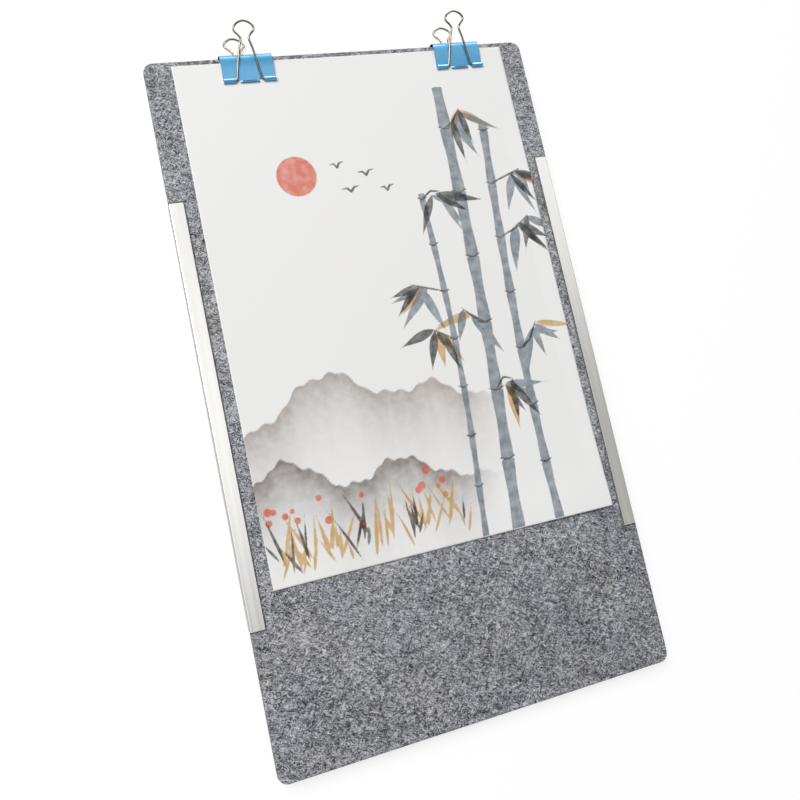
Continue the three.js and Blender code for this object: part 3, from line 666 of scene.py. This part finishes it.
# %% Bamboo
CULMS = [
    # foot, top and bow across the sheet, height, half width, joint spacing, all in mm
    (208, 226, 5, 386, 5.2, 58),
    (246, 262, -4, 350, 3.8, 49),
    (178, 189, 6, 292, 2.6, 41),
]
BARE_BELOW, BARE_SHARE = 90, 0.25
joints = []
for foot, top_end, bow, height, half, spacing in CULMS:
    middle = foot + (top_end - foot) * b / height + bow * np.sin(math.pi * b / height)
    phase = (b / spacing) % 1
    culm = half * (1 + 0.12 * np.cos(2 * math.pi * phase)) - np.abs(a - middle)
    culm = np.minimum(culm, np.minimum(phase, 1 - phase) * spacing - 0.8)
    paint["slate"] = np.maximum(paint["slate"], np.where(b < height, culm, NO_PAINT))
    for up in np.arange(spacing, height, spacing):
        at = foot + (top_end - foot) * up / height + bow * math.sin(math.pi * up / height)
        joints.append((at, up))
        mark = [(at - half - 1.6, up + 1.2), (at - half * 0.5, up - 0.3), (at + half * 0.5, up - 0.3),
                (at + half + 1.6, up + 1.2)]
        paint["ink"] = np.maximum(paint["ink"], stroke(mark, 1.1))

for at, up in joints:
    if draw.random() < BARE_SHARE or up < BARE_BELOW:
        continue
    side = draw.choice([-1, 1])
    reach = draw.uniform(16, 34)
    tip = (at + side * reach, up + draw.uniform(4, 20))
    twig = [(at, up), (at + side * reach * 0.5, up + draw.uniform(4, 9)), tip]
    paint["ink"] = np.maximum(paint["ink"], stroke(twig, 0.9))
    for _ in range(draw.integers(5, 8)):
        kind = draw.choice(["slate", "slate", "ink", "slate", "ink", "ochre"])
        share = draw.uniform(0.45, 1.0)
        root = (at + (tip[0] - at) * share, up + (tip[1] - up) * share)
        degrees = -90 + side * draw.uniform(-30, 85)
        blade = leaf(root, degrees, draw.uniform(28, 50), draw.uniform(2.6, 4.2))
        paint[kind] = np.maximum(paint[kind], blade)

# %% [markdown]
# ## Dry grass and buds
# The foreground is quick upward flicks of a thin brush, with a red dot over every fourth one. The fields then
# go onto the sheet as attributes, one for each paint, which the paper's material reads. Vertex colours could
# hold the mixed result, but a distance keeps edges sharper than the grid.

# %% Grass and buds
BLADES, BUD_EVERY, FIELD_REACH = 64, 4, 3
for number in range(BLADES):
    root = (draw.uniform(6, 170), draw.uniform(4, 22))
    kind = draw.choice(["ochre", "ochre", "ink"])
    blade = leaf(root, draw.uniform(58, 122), draw.uniform(18, 52), draw.uniform(0.9, 1.5))
    paint[kind] = np.maximum(paint[kind], blade)
    if number % BUD_EVERY == 0:
        radius = draw.uniform(2.0, 3.4)
        bud = radius - np.hypot(a - root[0] - draw.uniform(-8, 8), b - root[1] - draw.uniform(22, 44))
        paint["vermilion"] = np.maximum(paint["vermilion"], bud)

for name, field in paint.items():
    values = np.zeros(len(paper.data.vertices), np.float32)
    values[:count] = np.clip(field, -FIELD_REACH, FIELD_REACH).ravel()
    if name not in ("far_hill", "near_hill"):
        values[count:] = -FIELD_REACH
    paper.data.attributes.new(name, "FLOAT", "POINT").data.foreach_set("value", values)
print("painted", {name: round(float((field > 0.2).mean()), 3) for name, field in paint.items()})

# %% [markdown]
# ## Paper and paint
# Drawing paper is matt and very slightly warm, with a fine tooth. Water paint sinks into it, so it changes
# the paper's colour and not its shine, gathers in the tooth and wanders a little at its edges. A second,
# shiny layer would suit oil paint; here one shader with a painted colour is enough.

# %% Paper material
PAPER_COOL, PAPER_WARM = "#f1f1f1", "#f1f0ed"
# the tooth is drawn about three times its real size, because the real one is finer than a pixel
TOOTH_SIZE, CLOUD_SIZE, POOL_SIZE = 1.1, 34, 7
PAINTS = [
    # field, colour, where cover begins and is full, how far the edge wanders, strength
    ("far_hill", "#9b8d85", 0.06, 1.0, 0.12, 0.85),
    ("near_hill", "#6f615a", 0.06, 1.0, 0.12, 0.95),
    ("vermilion", "#d9562f", -0.4, 0.4, 0.8, 0.85),
    ("ochre", "#c79836", -0.3, 0.3, 0.6, 0.85),
    ("slate", "#6d7a86", -0.3, 0.3, 0.6, 0.9),
    ("ink", "#2b2827", -0.3, 0.3, 0.6, 0.92),
]
# heavy drawing paper: a soft white that stays white from every side, with paint stained into it
tree = paper_tree
place = add_node(tree, "ShaderNodeTexCoord").outputs["Object"]
tooth = add_node(tree, "ShaderNodeTexNoise", {"Vector": place, "Scale": per_mm(TOOTH_SIZE), "Detail": 3.0})
cloud = add_node(tree, "ShaderNodeTexNoise", {"Vector": place, "Scale": per_mm(CLOUD_SIZE), "Detail": 3.0})
pool = add_node(tree, "ShaderNodeTexNoise", {"Vector": place, "Scale": per_mm(POOL_SIZE), "Detail": 3.0})
pool = add_node(tree, "ShaderNodeMapRange", {"Value": pool.outputs[0], "From Min": 0.3, "From Max": 0.65,
                                             "To Min": 0.72, "To Max": 1.0})
wander = add_node(tree, "ShaderNodeMath", {0: tooth.outputs[0], 1: 0.5}, operation="SUBTRACT")
colour = add_node(tree, "ShaderNodeMix", {0: cloud.outputs[0], 6: linear(PAPER_COOL), 7: linear(PAPER_WARM)},
                  data_type="RGBA").outputs[2]
for name, stain, begin, full, stray, strength in PAINTS:
    field = add_node(tree, "ShaderNodeAttribute", attribute_type="GEOMETRY", attribute_name=name)
    edge = add_node(tree, "ShaderNodeMath", {0: wander.outputs[0], 1: stray, 2: field.outputs["Fac"]},
                    operation="MULTIPLY_ADD")
    cover = add_node(tree, "ShaderNodeMapRange", {"Value": edge.outputs[0], "From Min": begin,
                                                  "From Max": full, "To Min": 0.0, "To Max": strength})
    cover = add_node(tree, "ShaderNodeMath", {0: cover.outputs[0], 1: pool.outputs[0]}, operation="MULTIPLY")
    colour = add_node(tree, "ShaderNodeMix", {0: cover.outputs[0], 6: colour, 7: linear(stain)},
                      data_type="RGBA").outputs[2]
bump = add_node(tree, "ShaderNodeBump", {"Height": tooth.outputs[0], "Distance": 0.04 * MM, "Strength": 0.4})
sheet = add_node(tree, "ShaderNodeBsdfPrincipled",
                 {"Base Color": colour, "Roughness": 0.85, "Specular IOR Level": 0.25,
                  "Normal": bump.outputs[0]})
tree.links.new(sheet.outputs[0], paper_output.inputs["Surface"])
print("paper:", len(tree.nodes), "nodes")

# %% [markdown]
# ## Edge channels
# The channels are thin aluminium, drawn through a die and left satin. Drawing leaves faint straight lines
# along the length, a little brighter or duller than their neighbours. The side walls get a darker grey as
# painted shade. An anisotropic shader could smear the shine along the lines, but noise that is stretched
# along the length also tints them, and that is what shows at this distance.

# %% Satin aluminium
ALLOY_DULL, ALLOY_BRIGHT, ALLOY_WALL_SHADE = "#e6e5e1", "#fefdf9", "#7a7a76"
# real draw lines are finer than a pixel, so they are drawn 1.6 mm wide, and a hundred times as long
LINE_WIDTH, LINE_STRETCH = 1.6, 0.01
# drawn aluminium: bright but not a mirror, with reflections that blur into long bands
channel_material, tree, output = new_material("satin_aluminium")
place = add_node(tree, "ShaderNodeTexCoord").outputs["Object"]
drawn = add_node(tree, "ShaderNodeMapping", {"Vector": place, "Scale": (1, LINE_STRETCH, 1)})
lines = add_node(tree, "ShaderNodeTexNoise",
                 {"Vector": drawn.outputs[0], "Scale": per_mm(LINE_WIDTH), "Detail": 2.0})
rough = add_node(tree, "ShaderNodeMapRange", {"Value": lines.outputs[0], "From Min": 0.3, "From Max": 0.7,
                                              "To Min": 0.16, "To Max": 0.22})
tint = add_node(tree, "ShaderNodeMix", {0: lines.outputs[0], 6: linear(ALLOY_DULL), 7: linear(ALLOY_BRIGHT)},
                data_type="RGBA")
# painted shade: faces that look sideways take the darker wall grey
side = add_node(tree, "ShaderNodeSeparateXYZ", {0: add_node(tree, "ShaderNodeNewGeometry").outputs["Normal"]})
side = add_node(tree, "ShaderNodeMath", {0: side.outputs["Z"]}, operation="ABSOLUTE")
side = add_node(tree, "ShaderNodeMapRange", {"Value": side.outputs[0], "From Min": 0.5, "From Max": 0.8})
tint = add_node(tree, "ShaderNodeMix", {0: side.outputs[0], 6: linear(ALLOY_WALL_SHADE), 7: tint.outputs[2]},
                data_type="RGBA")
alloy = add_node(tree, "ShaderNodeBsdfPrincipled",
                 {"Base Color": tint.outputs[2], "Metallic": 1.0, "Roughness": rough.outputs[0]})
tree.links.new(alloy.outputs[0], output.inputs["Surface"])
print("aluminium:", len(tree.nodes), "nodes")

# %% [markdown]
# ## Blue enamel on the clips
# Binder clips are stamped from spring steel and sprayed with a glossy blue enamel. A little metal flake under
# the clear coat makes the blue shine as the blade bows, and handling rubs the coat dull over the bend. The
# hollow inside gets a near-black colour as painted shade. It could be a second material on its own faces,
# but those faces are easy to find: they look towards the middle of the hollow.

# %% Blue enamel
ENAMEL_DEEP, ENAMEL_LIGHT, HOLLOW_SHADE = "#4aa5d5", "#52abdb", "#16191d"
CLOUDING_SIZE, PEEL_SIZE = 9, 1.5
clip_low, clip_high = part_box("left_clip_body")
HOLLOW_MIDDLE = (0.0, clip_high.y - 8 * MM, (clip_low.z + clip_high.z) / 2)
HOLLOW_FROM = clip_high.y - 17 * MM
BEND_FROM, BEND_TO = clip_high.y - 6.5 * MM, clip_high.y - 4 * MM
# sprayed enamel: a deep clear blue with a wet shine on the blades, and a duller, darker bend
enamel_material, tree, output = new_material("blue_enamel")
place = add_node(tree, "ShaderNodeTexCoord").outputs["Object"]
cloud = add_node(tree, "ShaderNodeTexNoise", {"Vector": place, "Scale": per_mm(CLOUDING_SIZE), "Detail": 2.0})
tint = add_node(tree, "ShaderNodeMix", {0: cloud.outputs[0], 6: linear(ENAMEL_DEEP), 7: linear(ENAMEL_LIGHT)},
                data_type="RGBA")
# painted shade: faces in the hollow that look towards its middle turn near black
apart = add_node(tree, "ShaderNodeVectorMath", {0: place, 1: HOLLOW_MIDDLE}, operation="SUBTRACT")
apart = add_node(tree, "ShaderNodeVectorMath", {0: apart.outputs[0], 1: (0.0, 1.0, 1.0)},
                 operation="MULTIPLY")
facing = add_node(tree, "ShaderNodeVectorMath",
                  {0: apart.outputs[0], 1: add_node(tree, "ShaderNodeNewGeometry").outputs["Normal"]},
                  operation="DOT_PRODUCT")
inward = add_node(tree, "ShaderNodeMath", {0: facing.outputs["Value"], 1: 0.0}, operation="LESS_THAN")
along = add_node(tree, "ShaderNodeSeparateXYZ", {0: place})
behind = add_node(tree, "ShaderNodeMath", {0: along.outputs["Y"], 1: HOLLOW_FROM}, operation="GREATER_THAN")
inside = add_node(tree, "ShaderNodeMath", {0: inward.outputs[0], 1: behind.outputs[0]}, operation="MULTIPLY")
tint = add_node(tree, "ShaderNodeMix", {0: inside.outputs[0], 6: tint.outputs[2], 7: linear(HOLLOW_SHADE)},
                data_type="RGBA")
peel = add_node(tree, "ShaderNodeTexNoise", {"Vector": place, "Scale": per_mm(PEEL_SIZE), "Detail": 1.0})
bump = add_node(tree, "ShaderNodeBump", {"Height": peel.outputs[0], "Distance": 0.02 * MM, "Strength": 0.25})
bend = {"Value": along.outputs["Y"], "From Min": BEND_FROM, "From Max": BEND_TO}
gloss = add_node(tree, "ShaderNodeMapRange", {**bend, "To Min": 1.0, "To Max": 0.25})
flake = add_node(tree, "ShaderNodeMapRange", {**bend, "To Min": 0.25, "To Max": 0.05})
rough = add_node(tree, "ShaderNodeMapRange", {**bend, "To Min": 0.2, "To Max": 0.4})
enamel = add_node(tree, "ShaderNodeBsdfPrincipled",
                  {"Base Color": tint.outputs[2], "Metallic": flake.outputs[0], "Roughness": rough.outputs[0],
                   "Coat Weight": gloss.outputs[0], "Coat IOR": 1.7, "Coat Roughness": 0.1,
                   "Normal": bump.outputs[0]})
tree.links.new(enamel.outputs[0], output.inputs["Surface"])
print("enamel:", len(tree.nodes), "nodes, bend from", round(BEND_FROM / MM, 1), "mm")

# %% [markdown]
# ## Plated wire and hinges
# The handles are bent from spring wire and plated with bright nickel. Hinges and screws are steel with a thin
# plate of zinc. Each could have its own shader, but both are one plain metal whose tint and shine vary a
# little, so a loop makes both from rows of values. Clean nickel would be paler. This wire mirrors a dark room
# more than the lamp, so it is set rather dark and warm.

# %% Nickel and zinc
PLATES = [
    # name, two tints, the size of their clouds in mm and its detail, least and most roughness
    # nickel plate: a hard, warm mirror with a bright line along the wire and a few handling smears
    ("bright_nickel", "#6f685c", "#807a6c", 3, 2.0, 0.12, 0.18),
    # zinc plate: pale grey, with soft-edged and slightly cloudy reflections
    ("zinc_plated_steel", "#b9bcc0", "#c9cbcc", 4, 3.0, 0.28, 0.42),
]
plated = []
for name, dark, light, size, detail, least, most in PLATES:
    material, tree, output = new_material(name)
    place = add_node(tree, "ShaderNodeTexCoord").outputs["Object"]
    cloud = add_node(tree, "ShaderNodeTexNoise", {"Vector": place, "Scale": per_mm(size), "Detail": detail})
    rough = add_node(tree, "ShaderNodeMapRange", {"Value": cloud.outputs[0], "From Min": 0.3, "From Max": 0.7,
                                                  "To Min": least, "To Max": most})
    tint = add_node(tree, "ShaderNodeMix", {0: cloud.outputs[0], 6: linear(dark), 7: linear(light)},
                    data_type="RGBA")
    plate = add_node(tree, "ShaderNodeBsdfPrincipled",
                     {"Base Color": tint.outputs[2], "Metallic": 1.0, "Roughness": rough.outputs[0]})
    tree.links.new(plate.outputs[0], output.inputs["Surface"])
    plated.append(material)
wire_material, hinge_material = plated
print("plated metals:", [material.name for material in plated])

# %% [markdown]
# ## Plywood
# The board itself is thin birch plywood, with its grain along the length and its plies showing as stripes on
# the edges. The plies could be modelled as layers, but they are flush with each other, so stripes by height
# on the faces that look sideways do it.

# %% Plywood
BIRCH_DARK, BIRCH_LIGHT, BIRCH_PORE, BIRCH_PLY = "#c9a878", "#e3c99d", "#a5804f", "#9c7446"
RING_SIZE, PORE_SIZE, GRAIN_STRETCH, PLY_PITCH = 14, 0.9, 0.06, 2.0 * MM
# sanded birch: pale and warm, hardly any shine, with a fine even grain
wood_material, tree, output = new_material("birch_plywood")
place = add_node(tree, "ShaderNodeTexCoord").outputs["Object"]
grown = add_node(tree, "ShaderNodeMapping", {"Vector": place, "Scale": (1, GRAIN_STRETCH, 1)})
rings = add_node(tree, "ShaderNodeTexNoise", {"Vector": grown.outputs[0], "Scale": per_mm(RING_SIZE),
                                              "Detail": 4.0, "Distortion": 0.6})
pores = add_node(tree, "ShaderNodeTexNoise",
                 {"Vector": grown.outputs[0], "Scale": per_mm(PORE_SIZE), "Detail": 2.0})
tint = add_node(tree, "ShaderNodeValToRGB", {0: rings.outputs[0]})
tint.color_ramp.elements[0].position, tint.color_ramp.elements[1].position = 0.3, 0.7
tint.color_ramp.elements[0].color = linear(BIRCH_DARK)
tint.color_ramp.elements[1].color = linear(BIRCH_LIGHT)
speck = add_node(tree, "ShaderNodeMapRange", {"Value": pores.outputs[0], "From Min": 0.35, "From Max": 0.5,
                                              "To Min": 0.35, "To Max": 0.0})
grain = add_node(tree, "ShaderNodeMix", {0: speck.outputs[0], 6: tint.outputs[0], 7: linear(BIRCH_PORE)},
                 data_type="RGBA")
height = add_node(tree, "ShaderNodeSeparateXYZ", {0: place})
ply = add_node(tree, "ShaderNodeMath", {0: height.outputs["Z"], 1: PLY_PITCH}, operation="PINGPONG")
ply = add_node(tree, "ShaderNodeMapRange",
               {"Value": ply.outputs[0], "From Min": 0.9 * MM, "From Max": 1.1 * MM})
side = add_node(tree, "ShaderNodeSeparateXYZ", {0: add_node(tree, "ShaderNodeNewGeometry").outputs["Normal"]})
side = add_node(tree, "ShaderNodeMath", {0: side.outputs["Z"]}, operation="ABSOLUTE")
side = add_node(tree, "ShaderNodeMath", {0: side.outputs[0], 1: 0.5}, operation="LESS_THAN")
layer = add_node(tree, "ShaderNodeMath", {0: ply.outputs[0], 1: side.outputs[0]}, operation="MULTIPLY")
final = add_node(tree, "ShaderNodeMix", {0: layer.outputs[0], 6: grain.outputs[2], 7: linear(BIRCH_PLY)},
                 data_type="RGBA")
bump = add_node(tree, "ShaderNodeBump", {"Height": pores.outputs[0], "Distance": 0.05 * MM, "Strength": 0.4})
birch = add_node(tree, "ShaderNodeBsdfPrincipled",
                 {"Base Color": final.outputs[2], "Roughness": 0.6, "Normal": bump.outputs[0]})
tree.links.new(birch.outputs[0], output.inputs["Surface"])
print("plywood:", len(tree.nodes), "nodes")

# %% [markdown]
# ## Give the solids their finishes
# The solids come as loose triangles, which would shade like cut glass. A copy of each metal solid is
# merged into one skin and shaded smooth, except across edges that are truly sharp. New meshes could be drawn
# instead, but the solids already have the right shape. The wooden halves have only flat faces, so they keep
# their own triangles.

# %% Finish the solids
SHARP, MERGE_GAP = math.radians(32), 0.002 * MM
FINISHES = {"channel": channel_material, "clip_blue": enamel_material, "wire": wire_material,
            "hinge_steel": hinge_material}
body_of = {node: body for body, nodes in frame["record"]["behaviour"]["bodies"].items() for node in nodes}
for part in frame["record"]["subparts"]:
    node, finish = part["node"], part["material_slot"]
    solid = frame["nodes"][node]
    if finish == "wood":
        solid.data.materials.clear()
        solid.data.materials.append(wood_material)
    if finish not in FINISHES:
        continue
    skin = solid.data.copy()
    work = bmesh.new()
    work.from_mesh(skin)
    bmesh.ops.remove_doubles(work, verts=work.verts, dist=MERGE_GAP)
    work.to_mesh(skin)
    work.free()
    if "custom_normal" in skin.attributes:
        skin.attributes.remove(skin.attributes["custom_normal"])
    skin.materials.clear()
    skin.materials.append(FINISHES[finish])
    skin.shade_smooth()
    skin.set_sharp_from_angle(angle=SHARP)
    copy = bpy.data.objects.new(node + "_skin", skin)
    bpy.context.scene.collection.objects.link(copy)
    level = copy.modifiers.new("level_flats", "WEIGHTED_NORMAL")
    level.keep_sharp = True
    level.weight = 100
    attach(copy, body_of[node])
    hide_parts(node)
print("finishes:", sorted(FINISHES))
